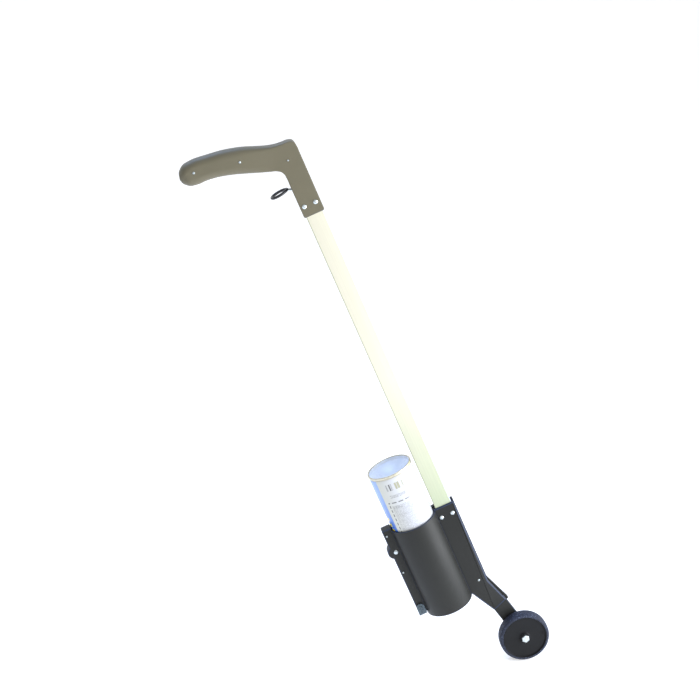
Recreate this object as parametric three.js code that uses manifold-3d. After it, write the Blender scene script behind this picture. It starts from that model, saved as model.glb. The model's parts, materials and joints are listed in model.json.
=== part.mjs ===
// A hand-held line marking wand: a wheeled holder for an upside-down marking can at the foot of an
// aluminium shaft, and a pistol grip with a finger trigger at its head. The trigger lifts a pull rod
// inside the shaft, the rod lifts a lever under the can, and the lever presses the spray tip.
//
// Millimetres. The wand is drawn upright in its own frame: z runs up the shaft, x points forwards to
// the wheel, y to the far side, z = 0 is the holder's bottom edge and x = y = 0 is the can's axis.
// The whole wand is then leaned back to its working slant, with the origin in the hand's grip.
import * as THREE from 'three';
import { mergeVertices } from 'three/addons/utils/BufferGeometryUtils.js';
import Module from 'manifold-3d';

const wasm = await Module();
wasm.setup();

// ---- driving dimensions ----
const LEAN = THREE.MathUtils.degToRad(23);
const HAND = { x: -20, z: 740 };
const GAP = 0.3;
const SEAM = 0.15;

const TUBE = { x: 50, wide: 25.4, deep: 12.7, wall: 1.5, bottom: 26, top: 702, bareLow: 158, bareHigh: 625 };
const CAN = { r: 33, rimR: 33.5, wall: 1.2, top: 241, bottom: 43, neckR: 16, domeH: 18 };
const BARREL = { r: 36, bore: 33.9, top: 150, ledgeR: 28, ledgeLow: 26, ledgeTop: 30 };
const FLANGE = { rear: -48.4, half: 8.8, low: 8.5, top: 154, edge: 1 };
const LOBE = { x: -43, z: 115.3, r: 10.5 };
const CHANNEL = { rear: 30, half: 8.8, edge: 2.2 };
const LEG_NEAR = { front: 65.4, top: 152.8, low: 11, bend: [79.2, -30] };
const LEG_FAR = { front: 66.5, top: 154.6, low: 12.9, bend: [84.2, -33.5] };
const HEEL = [56.4, -38.8];
const TONGUE = { near: -4, far: 5, r: 12.2 };
const WHEEL = { x: 81.6, z: -93, y: -15.5, r: 38, half: 10, shoulder: 4.2, tread: 6 };
const HUB = { r: 8, near: -25.9, far: -6.1, face: -22.6, web: -12.5 };
const AXLE = { r: 3.175, headR: 6.2 };
const ROD = { x: 48, r: 2, trigger: 674, elbow: 7, low: -1.5, joint: 648 };
const SLOT = { half: 3.2, low: 668, high: 683 };
const LOOP = { x: 16.8, z: 672.4, a: 11.2, b: 12, r: 1.8, rise: 0.115 };
const LEVER = { pinX: -42.5, pinZ: 17.1, low: 5, thick: 1.6, half: 4.5, earIn: 9.1, earOut: 10.7, tip: 55 };
const HEAD = { rear: 34.6, front: 64.8, bottom: 629, half: 11, corner: 3 };
const GRIP = { half: 13.5, wall: 3.2, from: 22 };
const RIVET = { r: 1.7, headR: 3.1, headH: 1.5 };
const SCREW = { r: 1, headR: 1.7, headH: 1.2 };
const HEAD_RIVETS = [40.1, 57.4].map((x) => ({ x, z: 136.5 }));
const GRIP_RIVETS = [40.7, 57.4].map((x) => ({ x, z: 644.2 }));
const FLANGE_SCREWS = [144.3, 80.3].map((z) => ({ x: -44.3, z }));
const LEG_SCREWS = [{ x: 53.3, z: 18.4 }];
const HEAD_SCREWS = [{ x: 46, z: 711.4 }];
const GRIP_SCREWS = [{ x: -14, z: 736 }, { x: -76, z: 748 }];

// ---- solids and how they join ----
function solid(geometry) {
  const bare = geometry.index ? geometry.clone() : geometry;
  bare.deleteAttribute('normal');
  bare.deleteAttribute('uv');
  const merged = mergeVertices(bare, 1e-4);
  const index = merged.index.array;
  const kept = [];
  for (let i = 0; i < index.length; i += 3) {
    const [a, b, c] = [index[i], index[i + 1], index[i + 2]];
    if (a !== b && b !== c && c !== a) kept.push(a, b, c);
  }
  const vertProperties = Float32Array.from(merged.attributes.position.array);
  return new wasm.Manifold(new wasm.Mesh({ numProp: 3, vertProperties, triVerts: Uint32Array.from(kept) }));
}

function geometryOf(manifold) {
  const mesh = manifold.getMesh();
  const geometry = new THREE.BufferGeometry();
  geometry.setAttribute('position', new THREE.BufferAttribute(Float32Array.from(mesh.vertProperties), 3));
  geometry.setIndex(new THREE.BufferAttribute(Uint32Array.from(mesh.triVerts), 1));
  return geometry;
}

const join = (first, ...others) => others.reduce((sum, next) => sum.add(next), first);
const cut = (first, ...tools) => tools.reduce((rest, tool) => rest.subtract(tool), first);

// A box between two corners.
function block(low, high) {
  const size = high.map((value, i) => value - low[i]);
  const geometry = new THREE.BoxGeometry(...size);
  return solid(geometry.translate(...low.map((value, i) => value + size[i] / 2)));
}

// An outline in x and z, carried along y from one side to the other.
function slab(outline, near, far, bevel = 0) {
  const shape = Array.isArray(outline) ? new THREE.Shape(outline.map(([x, z]) => new THREE.Vector2(x, z))) : outline;
  const geometry = new THREE.ExtrudeGeometry(shape, {
    depth: far - near - 2 * bevel,
    bevelEnabled: bevel > 0,
    bevelThickness: bevel,
    bevelSize: bevel,
    bevelOffset: -bevel,
    bevelSegments: 2,
    curveSegments: 3,
  });
  return solid(geometry.rotateX(Math.PI / 2).translate(0, far - bevel, 0));
}

// A round bar along y.
function crossBar(r, near, far, { x, z }, sides = 14) {
  return solid(new THREE.CylinderGeometry(r, r, far - near, sides).translate(x, (near + far) / 2, z));
}

// A round post along z.
function post(r, low, high, { x = 0, y = 0 } = {}, sides = 24) {
  const geometry = new THREE.CylinderGeometry(r, r, high - low, sides).rotateX(Math.PI / 2);
  return solid(geometry.translate(x, y, (low + high) / 2));
}

// A profile of [radius, height] points turned about z.
function turned(profile, sides = 32) {
  const points = profile.map(([r, h]) => new THREE.Vector2(r, h));
  return new THREE.LatheGeometry(points, sides).rotateX(Math.PI / 2);
}

// A profile of [radius, height] points turned about the wheel's axle.
function turnedOnAxle(profile, sides = 36) {
  const points = profile.map(([r, h]) => new THREE.Vector2(r, h));
  return new THREE.LatheGeometry(points, sides).translate(WHEEL.x, 0, WHEEL.z);
}

// A bar of round section along a curve.
function barAlong(curve, r, steps, sides = 10) {
  const section = new THREE.Shape().absarc(0, 0, r, 0, Math.PI * 2);
  return new THREE.ExtrudeGeometry(section, { steps, extrudePath: curve, curveSegments: sides / 2 });
}

const ring = (r0, r1, low, high) => [[r0, low], [r1, low], [r1, high], [r0, high], [r0, low]];
const nearHalf = (body) => body.intersect(block([-300, -60, -300], [300, -SEAM, 900]));
const farHalf = (body) => body.intersect(block([-300, SEAM, -300], [300, 60, 900]));

const PAINT = {
  charcoal: { color: '#3b3c3e', roughness: 0.5, metalness: 0 },
  olive: { color: '#6f695a', roughness: 0.55, metalness: 0 },
  bare: { color: '#d8d6c6', roughness: 0.35, metalness: 0.8 },
  zinc: { color: '#b9bcc0', roughness: 0.35, metalness: 0.9 },
  black: { color: '#1f1f23', roughness: 0.7, metalness: 0 },
  tyre: { color: '#2b2c34', roughness: 0.85, metalness: 0 },
  label: { color: '#eef0f4', roughness: 0.4, metalness: 0 },
  tin: { color: '#b5ad8e', roughness: 0.35, metalness: 0.8 },
  enamel: { color: '#c9d3ea', roughness: 0.4, metalness: 0.2 },
  white: { color: '#f1f1ee', roughness: 0.45, metalness: 0 },
};

const wand = new THREE.Group();

function add(name, geometry, paint) {
  const mesh = new THREE.Mesh(geometry, new THREE.MeshStandardMaterial(PAINT[paint]));
  mesh.name = name;
  wand.add(mesh);
}

// Each fastener of a row is a piece of its own, numbered from 1.
function addEach(name, places, make) {
  places.forEach((at, i) => add(`${name}_${i + 1}`, geometryOf(make(at)), 'zinc'));
}

// ---- fasteners ----
// A rivet through both walls: a shank and a domed head on either side.
function rivet(at, half) {
  const head = (side) => {
    const from = side * (half + GAP);
    const to = side * (half + GAP + RIVET.headH);
    const wide = crossBar(RIVET.headR, Math.min(from, (from + to) / 2), Math.max(from, (from + to) / 2), at);
    const crown = crossBar(RIVET.headR * 0.7, Math.min(from, to), Math.max(from, to), at);
    return join(wide, crown);
  };
  const reach = half + GAP + 0.5;
  return join(crossBar(RIVET.r, -reach, reach, at), head(-1), head(1));
}

const rivetHoles = (places, half) => places.map((at) => crossBar(RIVET.r + GAP, -half - 1, half + 1, at));

// A small screw sunk in the near face, with its point in the far half.
function screw(at, half) {
  const reach = half - 2.5;
  const head = crossBar(SCREW.headR, -half - 0.4, -half - 0.4 + SCREW.headH, at, 16);
  return join(crossBar(SCREW.r, -half, reach, at, 12), head);
}

function screwHoles(places, half) {
  return places.flatMap((at) => [
    crossBar(SCREW.headR + GAP, -half - 1, -half + SCREW.headH, at, 16),
    crossBar(SCREW.r + GAP, -half, half - 2, at, 12),
  ]);
}

// ---- the shaft ----
// The rectangular tube between two heights.
function tubeStretch(low, high) {
  const { x, wide, deep, wall } = TUBE;
  const outer = block([x - wide / 2, -deep / 2, low], [x + wide / 2, deep / 2, high]);
  const inner = block([x - wide / 2 + wall, -deep / 2 + wall, low - 1], [x + wide / 2 - wall, deep / 2 - wall, high + 1]);
  return cut(outer, inner);
}

// The whole tube. Its bare stretch, from the holder's top to the grip's foot, has flat faces of its own.
function shaftTube() {
  const { x, wide, deep, bottom, top, bareLow, bareHigh } = TUBE;
  const slot = block([x - wide / 2 - 1, -SLOT.half, SLOT.low], [x, SLOT.half, SLOT.high]);
  const foot = cut(tubeStretch(bottom, bareLow), ...rivetHoles(HEAD_RIVETS, deep / 2));
  const head = cut(tubeStretch(bareHigh, top), slot, ...rivetHoles(GRIP_RIVETS, deep / 2));
  return geometryOf(join(foot, tubeStretch(bareLow, bareHigh), head));
}

const tubePocket = (low, high) => block(
  [TUBE.x - TUBE.wide / 2 - GAP, -TUBE.deep / 2 - GAP, low],
  [TUBE.x + TUBE.wide / 2 + GAP, TUBE.deep / 2 + GAP, high],
);

function rodGuide() {
  const { x, wide, deep, wall, bottom } = TUBE;
  const reachX = wide / 2 - wall - GAP;
  const reachY = deep / 2 - wall - GAP;
  const body = block([x - reachX, -reachY, bottom + 1], [x + reachX, reachY, bottom + 13]);
  return geometryOf(cut(body, post(ROD.r + GAP, bottom, bottom + 14, { x: ROD.x })));
}

// ---- the holder, moulded in two halves ----
function legOutline({ front, top, low, bend }) {
  return [[CHANNEL.rear, top], [front, top], [front, low], bend, HEEL, [35, 2], [CHANNEL.rear, 2]];
}

// The flat tongue from the leg's bend to the axle, with a round end.
function tongueOutline() {
  const mid = new THREE.Vector2(...HEEL).lerp(new THREE.Vector2(...LEG_NEAR.bend), 0.5);
  const axle = new THREE.Vector2(WHEEL.x, WHEEL.z);
  const along = axle.clone().sub(mid).normalize();
  const heading = Math.atan2(along.y, along.x);
  const across = new THREE.Vector2(-along.y, along.x).multiplyScalar(TONGUE.r);
  const root = mid.clone().addScaledVector(along, -8);
  const shape = new THREE.Shape();
  shape.moveTo(root.x - across.x, root.y - across.y);
  shape.absarc(axle.x, axle.y, TONGUE.r, heading - Math.PI / 2, heading + Math.PI / 2, false);
  shape.lineTo(root.x + across.x, root.y + across.y);
  return shape;
}

// The solid holder, with the leg's outline of one half.
function holderBody(legOf) {
  const { rear, half, low, top, edge } = FLANGE;
  const barrel = post(BARREL.r, 0, BARREL.top, {}, 56);
  const flange = slab([[rear, low], [-30, low], [-30, top], [rear, top]], -half, half, edge);
  const lobe = crossBar(LOBE.r, -half, half, LOBE, 28);
  const leg = slab(legOutline(legOf), -CHANNEL.half, CHANNEL.half, CHANNEL.edge);
  const tongue = slab(tongueOutline(), TONGUE.near, TONGUE.far);
  return join(barrel, flange, lobe, leg, tongue);
}

function holderHollows() {
  const over = LEG_FAR.top + 1;
  const rodWell = block([40, -5.4, -3.5], [58, 5.4, TUBE.bottom + 1]);
  const leverSlot = block([30, -5.4, 0.5], [42, 5.4, 16]);
  const leverNotch = block([-40, -LEVER.earOut - 0.7, -1], [-30, LEVER.earOut + 0.7, 10]);
  return [
    post(BARREL.bore, BARREL.ledgeTop, over, {}, 56),
    post(BARREL.bore, -1, BARREL.ledgeLow, {}, 56),
    post(BARREL.ledgeR, BARREL.ledgeLow - 1, BARREL.ledgeTop + 1, {}, 40),
    tubePocket(TUBE.bottom - GAP, over),
    rodWell,
    leverSlot,
    leverNotch,
    ...rivetHoles(HEAD_RIVETS, CHANNEL.half),
    ...rivetHoles([LOBE], FLANGE.half),
    ...screwHoles(FLANGE_SCREWS, FLANGE.half),
    ...screwHoles(LEG_SCREWS, CHANNEL.half),
    ...rivetHoles([{ x: LEVER.pinX, z: LEVER.pinZ }], FLANGE.half),
    crossBar(AXLE.r + GAP, TONGUE.near - 1, TONGUE.far + 1, WHEEL),
  ];
}

// ---- the grip, moulded in two halves ----
// The hand's part of the grip: over the saddle, round the butt and back along the underside.
function drawGripTail(shape, inset) {
  const along = (points, side) => shape.splineThru(points.map(([x, z]) => new THREE.Vector2(x, z + side * inset)));
  along([[14, 744.2], [-4, 751.4], [-26, 757.8], [-52, 761.4], [-76, 764.4]], -1);
  shape.bezierCurveTo(-90 + inset, 766 - inset, -97 + inset, 758, -97 + inset, 746);
  shape.bezierCurveTo(-97 + inset, 734 + inset, -90 + inset, 727 + inset, -78, 728.6 + inset);
  along([[-64, 730], [-48, 728], [-28, 722.6], [-8, 715.4], [8, 709.6], [18, 706.6]], 1);
}

// The grip's whole side outline, with the flat head round the shaft.
function gripOutline() {
  const shape = new THREE.Shape();
  const { rear, front, bottom, corner } = HEAD;
  shape.moveTo(rear, bottom + corner);
  shape.quadraticCurveTo(rear, bottom, rear + corner, bottom);
  shape.lineTo(front - corner, bottom);
  shape.quadraticCurveTo(front, bottom, front, bottom + corner);
  shape.lineTo(front, 724);
  shape.bezierCurveTo(front, 731, 63, 734.2, 57, 734.4);
  shape.lineTo(40, 735.9);
  shape.lineTo(27, 739.2);
  drawGripTail(shape, 0);
  shape.bezierCurveTo(26, 704.4, rear, 703, rear, 694);
  return shape;
}

function tailOutline(inset) {
  const shape = new THREE.Shape();
  shape.moveTo(45, 701 + inset);
  shape.lineTo(45, 735.2 - inset);
  shape.lineTo(27, 739.2 - inset);
  drawGripTail(shape, inset);
  return shape;
}

function gripBody() {
  const { half, wall, from } = GRIP;
  const head = slab(gripOutline(), -HEAD.half, HEAD.half, 1.5);
  const swell = slab(tailOutline(0), -half, half, 6);
  const hollow = slab(tailOutline(wall), wall - half, half - wall, 3);
  const behind = (x) => block([-120, -half, 640], [x, half, 800]);
  const bosses = GRIP_SCREWS.map((at) => crossBar(4.2, 1 - half, half - 1, at, 16));
  const shell = cut(join(head, swell.intersect(behind(from))), hollow.intersect(behind(from - wall)));
  return join(shell, ...bosses);
}

function gripHollows() {
  const slot = block([HEAD.rear - 1, -SLOT.half, SLOT.low], [TUBE.x, SLOT.half, SLOT.high]);
  return [
    tubePocket(HEAD.bottom - 1, TUBE.top + GAP),
    slot,
    ...rivetHoles(GRIP_RIVETS, HEAD.half),
    ...screwHoles(HEAD_SCREWS, HEAD.half),
    ...screwHoles(GRIP_SCREWS, GRIP.half),
  ];
}

// ---- the trigger and its rod ----
// The straight rod inside the shaft, from under the lever to the coupler.
const pullRod = () => geometryOf(post(ROD.r, ROD.low, ROD.joint - GAP / 2, { x: ROD.x }, 14));

// The bent wire that comes out of the slot in the grip and carries the finger loop.
function triggerWire() {
  const { x, joint, trigger, elbow } = ROD;
  const tip = LOOP.x + LOOP.a + LOOP.r + GAP;
  const route = [
    [x, joint + GAP / 2], [x, joint + 8], [x, trigger - elbow], [x - 0.3 * elbow, trigger - 0.3 * elbow],
    [x - elbow, trigger], [(x - elbow + tip) / 2, trigger], [tip, trigger],
  ];
  const curve = new THREE.CatmullRomCurve3(route.map(([px, pz]) => new THREE.Vector3(px, 0, pz)), false, 'chordal');
  return barAlong(curve, ROD.r, 16, 12);
}

function rodCoupler() {
  const body = post(ROD.r + 1.4, ROD.joint - 7, ROD.joint + 7, { x: ROD.x }, 14);
  return geometryOf(cut(body, post(ROD.r + GAP, ROD.joint - 8, ROD.joint + 8, { x: ROD.x }, 14)));
}

// The finger loop: a slightly oval ring that lies across the shaft and rises towards it.
function fingerLoop() {
  const { x, z, a, b, r, rise } = LOOP;
  const ringShape = new THREE.TorusGeometry(b, r, 8, 28).scale(a / b, 1, 1);
  return ringShape.rotateY(-Math.atan(rise)).translate(x, 0, z);
}

function nut(r, low, high, at) {
  const body = solid(new THREE.CylinderGeometry(r, r, high - low, 6).rotateX(Math.PI / 2)
    .translate(at.x, 0, (low + high) / 2));
  return geometryOf(cut(body, post(ROD.r + GAP, low - 1, high + 1, at)));
}

// ---- the lever ----
// A pressed strip with two ears round the flange, a hole under the spray tip and one for the rod.
function actuatorLever() {
  const { pinX, pinZ, low, thick, half, earIn, earOut, tip } = LEVER;
  const strip = block([pinX, -half, low], [tip - half, half, low + thick]);
  const roundEnd = post(half, low, low + thick, { x: tip - half });
  const foot = block([pinX - 6, -earOut, low], [pinX + 6, earOut, low + thick]);
  const ears = [-1, 1].map((side) => {
    const [y0, y1] = [side * earIn, side * earOut].sort((a, b) => a - b);
    return join(crossBar(6, y0, y1, { x: pinX, z: pinZ }), block([pinX - 6, y0, low], [pinX + 6, y1, pinZ]));
  });
  const lips = [-1, 1].map((side) => {
    const [y0, y1] = [side * half, side * (half - thick)].sort((a, b) => a - b);
    return block([-28, y0, low - 3], [28, y1, low + thick / 2]);
  });
  return geometryOf(cut(
    join(strip, roundEnd, foot, ...ears, ...lips),
    ...rivetHoles([{ x: pinX, z: pinZ }], earOut),
    post(2.9, low - 4, low + 3, {}, 16),
    post(ROD.r + 1.4, low - 4, low + 3, ROD, 20),
  ));
}

// ---- the can, standing on its dome ----
// The dome's outline: an ellipse from the body's radius in to the valve cup's.
function domePoint(step, inset) {
  const turn = (step * Math.PI) / 2;
  const wide = CAN.r - CAN.neckR;
  return [CAN.neckR + wide * Math.cos(turn) - inset * Math.cos(turn), CAN.bottom - (CAN.domeH - inset) * Math.sin(turn)];
}

function canDome() {
  const steps = [0, 0.25, 0.5, 0.75, 1];
  const outside = steps.map((step) => domePoint(step, 0)).reverse();
  const inside = steps.map((step) => domePoint(step, CAN.wall));
  const seam = [[CAN.rimR, CAN.bottom], [CAN.rimR, CAN.bottom + 3], [CAN.r - CAN.wall, CAN.bottom + 3]];
  return turned([...outside, ...seam, ...inside, outside[0]], 36);
}

// The base plate, dished into the can, with a collar that stands inside the seam.
function canBase() {
  const dish = (r) => CAN.top - 14 + 9 * (r / 28.5) ** 2;
  const radii = [0, 10, 20, 28.5];
  const under = radii.map((r) => [r, dish(r) - CAN.wall]);
  const over = radii.map((r) => [r, dish(r)]).reverse();
  const collar = [[31.3, CAN.top - 6.5], [31.3, CAN.top - 1.4], [30.2, CAN.top - 1.4], [29.6, CAN.top - 5.4]];
  return turned([...under, ...collar, ...over], 36);
}

function valveCup() {
  const foot = CAN.bottom - CAN.domeH;
  return turned([
    [ROD.r + 0.4, foot - 7], [6.5, foot - 7], [6.5, foot - 1.3], [12.6, foot - 1.3], [13.4, foot - 3],
    [15.7, foot - 3], [15.7, foot - GAP], [ROD.r + 0.4, foot - GAP], [ROD.r + 0.4, foot - 7],
  ], 24);
}

function valveHousing() {
  const foot = CAN.bottom - CAN.domeH;
  return turned([
    [3.4, foot], [6, foot], [6, foot + 13], [1, foot + 13], [1, foot + 10.5], [3.4, foot + 10.5], [3.4, foot],
  ], 16);
}

function sprayTip() {
  const rest = LEVER.low + LEVER.thick + GAP;
  return turned([
    [0.6, 3.6], [1.7, 3.6], [1.9, rest], [5.5, rest], [5.5, rest + 3], [3.4, rest + 4.2], [3.4, 14.6],
    [0.6, 14.6], [0.6, 3.6],
  ], 16);
}

// ---- the wheel ----
function tyre() {
  const { r, half, shoulder, tread, y } = WHEEL;
  const inner = r - tread;
  const arc = (from, middle) => [0, 0.33, 0.67, 1].map((step) => {
    const turn = from + (step * Math.PI) / 2;
    return [r - shoulder + shoulder * Math.cos(turn), middle + shoulder * Math.sin(turn)];
  });
  const profile = [
    [inner, y - half], ...arc(-Math.PI / 2, y - half + shoulder), ...arc(0, y + half - shoulder),
    [inner, y + half], [inner, y - half],
  ];
  return turnedOnAxle(profile, 40);
}

function wheelDisc() {
  const rim = WHEEL.r - WHEEL.tread - GAP;
  const bore = AXLE.r + 2.1;
  const near = WHEEL.y - WHEEL.half + GAP;
  const far = WHEEL.y + WHEEL.half - GAP;
  return turnedOnAxle([
    [bore, HUB.near], [HUB.r - 1, HUB.near], [HUB.r, HUB.face], [rim - 3, HUB.face], [rim - 2, near],
    [rim, near], [rim, far], [rim - 3, far], [rim - 4, HUB.web], [HUB.r + 1, HUB.web], [HUB.r, HUB.far],
    [bore, HUB.far], [bore, HUB.near],
  ]);
}

const onAxle = (r0, r1, near, far) => turnedOnAxle(ring(r0, r1, near, far), 20);

function axleBolt() {
  const head = HUB.near - GAP;
  const hex = crossBar(AXLE.headR, head - 3.6, head, WHEEL, 6);
  return geometryOf(join(hex, crossBar(AXLE.r, head - 1, 13, WHEEL, 24)));
}

function axleNut(near, far) {
  return geometryOf(cut(crossBar(AXLE.headR, near, far, WHEEL, 6), crossBar(AXLE.r + GAP, near - 1, far + 1, WHEEL)));
}

// ---- the wand ----
function buildFrame() {
  const holderNear = cut(holderBody(LEG_NEAR), ...holderHollows());
  const holderFar = cut(holderBody(LEG_FAR), ...holderHollows());
  const grip = cut(gripBody(), ...gripHollows());
  add('shaft_tube', shaftTube(), 'bare');
  add('rod_guide', rodGuide(), 'white');
  add('holder_shell_near', geometryOf(nearHalf(holderNear)), 'charcoal');
  add('holder_shell_far', geometryOf(farHalf(holderFar)), 'charcoal');
  add('grip_shell_near', geometryOf(nearHalf(grip)), 'olive');
  add('grip_shell_far', geometryOf(farHalf(grip)), 'olive');
  addEach('holder_rivet', HEAD_RIVETS, (at) => rivet(at, CHANNEL.half));
  addEach('grip_rivet', GRIP_RIVETS, (at) => rivet(at, HEAD.half));
  addEach('flange_screw', FLANGE_SCREWS, (at) => screw(at, FLANGE.half));
  addEach('leg_screw', LEG_SCREWS, (at) => screw(at, CHANNEL.half));
  addEach('head_screw', HEAD_SCREWS, (at) => screw(at, HEAD.half));
  addEach('grip_screw', GRIP_SCREWS, (at) => screw(at, GRIP.half));
  add('lobe_rivet', geometryOf(rivet(LOBE, FLANGE.half)), 'zinc');
  add('lever_pivot_pin', geometryOf(rivet({ x: LEVER.pinX, z: LEVER.pinZ }, LEVER.earOut)), 'zinc');
  add('axle_bolt', axleBolt(), 'zinc');
  add('axle_spacer', onAxle(AXLE.r + GAP, 7.5, TONGUE.near - 1.5, TONGUE.near - GAP), 'zinc');
  add('axle_washer', onAxle(AXLE.r + GAP, 7.5, TONGUE.far + GAP, TONGUE.far + 1.5), 'zinc');
  add('axle_nut', axleNut(TONGUE.far + 1.8, TONGUE.far + 6.8), 'zinc');
}

function buildTrigger() {
  add('pull_rod', pullRod(), 'zinc');
  add('rod_coupler', rodCoupler(), 'bare');
  add('trigger_wire', triggerWire(), 'zinc');
  add('trigger_loop', fingerLoop(), 'black');
  add('rod_adjuster_nut', nut(4, 0.9, LEVER.low - GAP, { x: ROD.x }), 'zinc');
}

function buildCan() {
  add('can_body', turned(ring(CAN.r - CAN.wall, CAN.r, CAN.bottom + 3 + GAP, CAN.top - 3.9), 40), 'label');
  add('can_base_seam', turned([
    [31.6, CAN.top - 3.6], [32.9, CAN.top - 3.6], [CAN.rimR, CAN.top - 2.8], [CAN.rimR, CAN.top - 0.7],
    [32.8, CAN.top], [32, CAN.top], [31.6, CAN.top - 0.6], [31.6, CAN.top - 3.6],
  ], 40), 'tin');
  add('can_base', canBase(), 'enamel');
  add('can_dome', canDome(), 'tin');
  add('valve_cup', valveCup(), 'tin');
  add('valve_housing', valveHousing(), 'white');
  add('valve_stem', turned([[0.6, 14.9], [2, 14.9], [2, 27], [0.6, 27], [0.6, 14.9]], 14), 'white');
  add('spray_tip', sprayTip(), 'white');
}

function buildWheel() {
  add('wheel_tyre', tyre(), 'tyre');
  add('wheel_disc', wheelDisc(), 'black');
  add('wheel_bushing', onAxle(AXLE.r + GAP, AXLE.r + 1.8, HUB.near + 0.1, HUB.far - 0.1), 'bare');
}

buildFrame();
buildTrigger();
add('actuator_lever', actuatorLever(), 'zinc');
buildCan();
buildWheel();

wand.position.set(-HAND.x, 0, -HAND.z);
const group = new THREE.Group();
group.add(wand);
group.rotation.y = -LEAN;

export default group;
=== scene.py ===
"""Looks of a hand-held line marking wand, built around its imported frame.

Every piece is drawn in the wand's own upright frame, in millimetres: z runs up the shaft, x points
forwards to the wheel, y to the far side, z = 0 is the holder's bottom edge and x = y = 0 is the can's
axis. Slant then leans it back and moves it to the hand's grip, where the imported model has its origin.
"""
import json
import logging
import math
from collections.abc import Callable, Iterable, Sequence
from dataclasses import dataclass, field
from enum import Enum

import bpy
import numpy as np
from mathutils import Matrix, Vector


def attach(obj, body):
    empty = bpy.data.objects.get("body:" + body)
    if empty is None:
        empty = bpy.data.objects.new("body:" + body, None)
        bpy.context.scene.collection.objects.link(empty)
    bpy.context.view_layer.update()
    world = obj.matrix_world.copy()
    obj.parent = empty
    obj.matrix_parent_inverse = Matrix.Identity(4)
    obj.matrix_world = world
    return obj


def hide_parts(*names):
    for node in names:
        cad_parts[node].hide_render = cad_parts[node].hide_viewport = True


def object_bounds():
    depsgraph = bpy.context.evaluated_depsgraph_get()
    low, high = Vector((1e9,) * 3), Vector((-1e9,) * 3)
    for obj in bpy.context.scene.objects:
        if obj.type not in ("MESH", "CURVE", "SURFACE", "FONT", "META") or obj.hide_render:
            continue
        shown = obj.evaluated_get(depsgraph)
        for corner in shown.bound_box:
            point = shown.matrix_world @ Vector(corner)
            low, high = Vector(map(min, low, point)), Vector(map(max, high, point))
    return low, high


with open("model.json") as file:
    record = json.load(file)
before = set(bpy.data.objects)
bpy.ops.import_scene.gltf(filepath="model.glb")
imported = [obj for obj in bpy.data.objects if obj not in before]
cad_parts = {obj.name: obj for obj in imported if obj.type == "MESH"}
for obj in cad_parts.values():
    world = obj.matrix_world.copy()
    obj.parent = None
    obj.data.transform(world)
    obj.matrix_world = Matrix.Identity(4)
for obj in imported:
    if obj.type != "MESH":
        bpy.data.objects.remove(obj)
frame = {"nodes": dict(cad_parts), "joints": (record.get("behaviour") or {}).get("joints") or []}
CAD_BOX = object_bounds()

LOG = logging.getLogger("wand")
MM = 0.001
SEAM = 0.12
TAU = 2 * math.pi
Colour = tuple[float, float, float]
Spot = tuple[float, float]


# ---------------------------------------------------------------- places


@dataclass(frozen=True)
class Slant:
    """How the upright drawing frame leans in the row frame, and where the hand holds it."""

    angle: float
    hand_x: float
    hand_z: float

    @classmethod
    def of_frame(cls, joints: list[dict], wheel_x: float, wheel_z: float) -> "Slant":
        """Reads the slant from the joints.

        Args:
            joints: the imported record's joints.
            wheel_x: the axle's x in the upright frame, in millimetres.
            wheel_z: the axle's z in the upright frame.

        Returns:
            The slant whose lifting axis and axle agree with the joints.
        """
        named = {joint["name"]: joint for joint in joints}
        up_x, _, up_z = named["can_lift"]["axis"]
        axle_x, _, axle_z = (value / MM for value in named["wheel_spin"]["pos_m"])
        angle = math.atan2(-up_x, up_z)
        turn_x = axle_x * math.cos(angle) + axle_z * math.sin(angle)
        turn_z = -axle_x * math.sin(angle) + axle_z * math.cos(angle)
        return cls(angle, wheel_x - turn_x, wheel_z - turn_z)

    def place(self, points: np.ndarray) -> np.ndarray:
        """Upright millimetres to the row frame's metres: shift to the hand, then turn about y."""
        x = points[:, 0] - self.hand_x
        z = points[:, 2] - self.hand_z
        cos, sin = math.cos(self.angle), math.sin(self.angle)
        return np.stack([x * cos - z * sin, points[:, 1], x * sin + z * cos], 1) * MM

    def spot(self, x: float, y: float, z: float) -> tuple[float, float, float]:
        """One upright point, in the row frame."""
        return tuple(self.place(np.array([[x, y, z]], float))[0])


# ---------------------------------------------------------------- outlines and surfaces


def unit(vectors: np.ndarray) -> np.ndarray:
    """Each row divided by its length."""
    return vectors / np.maximum(np.linalg.norm(vectors, axis=-1, keepdims=True), 1e-12)


def rounded(corners: Sequence, radii, steps: int = 5, closed: bool = True) -> np.ndarray:
    """Rounds an outline's corners: each becomes an arc of its own radius, tangent to both sides.

    The arc starts radius * tan(turn / 2) before the corner, and its centre lies one radius to the side
    that the outline turns to.

    Args:
        corners: (n, 2) points.
        radii: one radius, or one a corner; a corner of radius 0 stays sharp.
        steps: points on each arc.
        closed: whether the outline joins its ends.

    Returns:
        (m, 2) points.
    """
    points = np.asarray(corners, float)
    radius = np.array(np.broadcast_to(np.asarray(radii, float), len(points)))
    if not closed:
        radius[[0, -1]] = 0
    before = unit(points - np.roll(points, 1, 0))
    after = unit(np.roll(points, -1, 0) - points)
    cross = before[:, 0] * after[:, 1] - before[:, 1] * after[:, 0]
    turn = np.arctan2(cross, (before * after).sum(1))
    start = points - before * (radius * np.tan(np.abs(turn) / 2))[:, None]
    left = np.stack([-before[:, 1], before[:, 0]], 1)
    centre = start + left * (np.sign(turn) * radius)[:, None]
    angle = turn[:, None] * np.linspace(0, 1, steps)
    arm = (start - centre)[:, None, :]
    across = arm[..., 0] * np.cos(angle) - arm[..., 1] * np.sin(angle)
    upward = arm[..., 0] * np.sin(angle) + arm[..., 1] * np.cos(angle)
    arcs = centre[:, None, :] + np.stack([across, upward], 2)
    kept = (radius[:, None] > 0) | (np.arange(steps)[None, :] == 0)
    return arcs[kept]


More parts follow.
